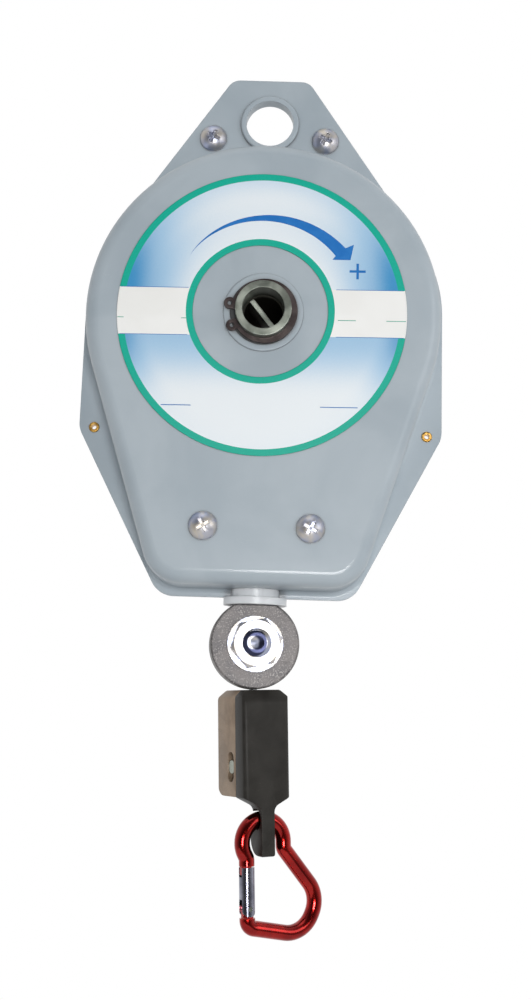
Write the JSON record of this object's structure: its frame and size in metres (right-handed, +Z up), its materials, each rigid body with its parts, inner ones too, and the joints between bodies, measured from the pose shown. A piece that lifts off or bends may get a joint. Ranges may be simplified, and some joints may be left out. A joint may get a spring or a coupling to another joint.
{
  "type": "spring tool balancer",
  "caption": "Spring balancer with pressed covers, suspension eye, sprung rope drum, rope stop, swivelling rope clamp and carabiner.",
  "frame": {"origin": "centre of the suspension eye, in the plane where the two covers meet", "axes": "+X to the right seen from the front, -Y out of the front cover, +Z up towards the suspension"},
  "size_m": [0.134, 0.0564, 0.3185],
  "materials": {
    "painted_sheet": "semi-gloss grey enamel on pressed steel",
    "label_print": "printed film label, gloss",
    "zinc_plated_steel": "bright zinc plate",
    "brass_eyelet": "bare pressed brass",
    "nylon_bush": "natural nylon, satin",
    "bearing_plastic": "turned acetal",
    "turned_steel": "turned, lightly oiled",
    "phosphated_spring_steel": "brown-black phosphate",
    "cast_aluminium": "as cast and turned",
    "wire_rope": "galvanised strands",
    "rough_cast_metal": "rough cast, bare",
    "black_oxide_steel": "black oxide, matt",
    "die_cast_zinc": "die-cast, dull",
    "red_anodised_aluminium": "bright red anodised",
    "bare_aluminium": "satin bare aluminium"
  },
  "bodies": {
    "housing": {"front_cover": "painted_sheet", "rear_cover": "painted_sheet", "label_disc": "label_print", "upper_screws": "zinc_plated_steel", "upper_nuts": "zinc_plated_steel", "lower_screws": "zinc_plated_steel", "lower_nuts": "zinc_plated_steel", "spacer_tubes": "zinc_plated_steel", "side_eyelets": "brass_eyelet", "rope_outlet_bush": "nylon_bush", "arbor_front_bush": "bearing_plastic", "arbor_rear_bush": "bearing_plastic", "pawl_post": "turned_steel", "pawl_spring": "phosphated_spring_steel", "rope_lead": "wire_rope"},
    "arbor": {"arbor_tube": "turned_steel", "arbor_blade": "turned_steel", "front_retaining_ring": "phosphated_spring_steel", "rear_retaining_ring": "phosphated_spring_steel", "arbor_spacer": "bearing_plastic", "ratchet_wheel": "turned_steel"},
    "pawl": {"pawl": "turned_steel"},
    "drum": {"rope_drum": "cast_aluminium", "drum_lid": "cast_aluminium", "lid_screws": "zinc_plated_steel", "drum_front_bush": "bearing_plastic", "drum_rear_bush": "bearing_plastic", "power_spring": "phosphated_spring_steel", "wound_rope": "wire_rope"},
    "rope_end": {"rope_run": "wire_rope", "rope_tail": "wire_rope", "rope_ferrule": "turned_steel", "rope_stop_front": "rough_cast_metal", "rope_stop_rear": "rough_cast_metal", "stop_washers": "zinc_plated_steel", "stop_bolt": "zinc_plated_steel", "stop_nut": "zinc_plated_steel"},
    "hook_block": {"clamp_front": "black_oxide_steel", "clamp_rear": "die_cast_zinc", "cross_pin": "turned_steel", "clamp_screw": "black_oxide_steel"},
    "carabiner": {"carabiner_body": "red_anodised_aluminium", "gate_pin": "turned_steel", "gate_spring": "turned_steel"},
    "gate": {"carabiner_gate": "bare_aluminium"}
  },
  "joints": [
    {"name": "arbor_turn", "type": "hinge", "parent": "housing", "child": "arbor", "pos_m": [0, 0, -0.0807], "axis": [0, 1, 0], "continuous": true},
    {"name": "pawl_lift", "type": "hinge", "parent": "housing", "child": "pawl", "pos_m": [-0.0104, 0, -0.0505], "axis": [0, -1, 0], "range_deg": [0, 14], "stiffness_Nm_per_rad": 0.02, "springref_deg": -22.92, "deforming": ["pawl_spring"]},
    {"name": "rope_pull", "type": "slide", "parent": "housing", "child": "rope_end", "axis": [0, 0, -1], "range_m": [0, 1.5], "stiffness_N_per_m": 2, "springref_m": -6, "deforming": ["rope_run", "rope_lead"]},
    {"name": "drum_spin", "type": "hinge", "parent": "housing", "child": "drum", "pos_m": [0, 0, -0.0807], "axis": [0, -1, 0], "range_deg": [0, 1720], "deforming": ["power_spring", "wound_rope"]},
    {"name": "hook_turn", "type": "hinge", "parent": "rope_end", "child": "hook_block", "pos_m": [0.00021, 0.00002, -0.21405], "axis": [-0.0435, -0.0034, 0.999], "continuous": true},
    {"name": "carabiner_swing", "type": "hinge", "parent": "hook_block", "child": "carabiner", "pos_m": [0.00509, -0.00558, -0.25889], "axis": [0.8901, 0.4539, 0.0403], "range_deg": [-75, 75]},
    {"name": "gate_open", "type": "hinge", "parent": "carabiner", "child": "gate", "pos_m": [0.00071, -0.00838, -0.28932], "axis": [-0.4536, 0.891, -0.0167], "range_deg": [0, 22], "stiffness_Nm_per_rad": 0.01, "springref_deg": -22.92, "deforming": ["gate_spring"]}
  ],
  "couplings": [
    {"joint": "drum_spin", "follows": "rope_pull", "rad_per_m": 20}
  ]
}
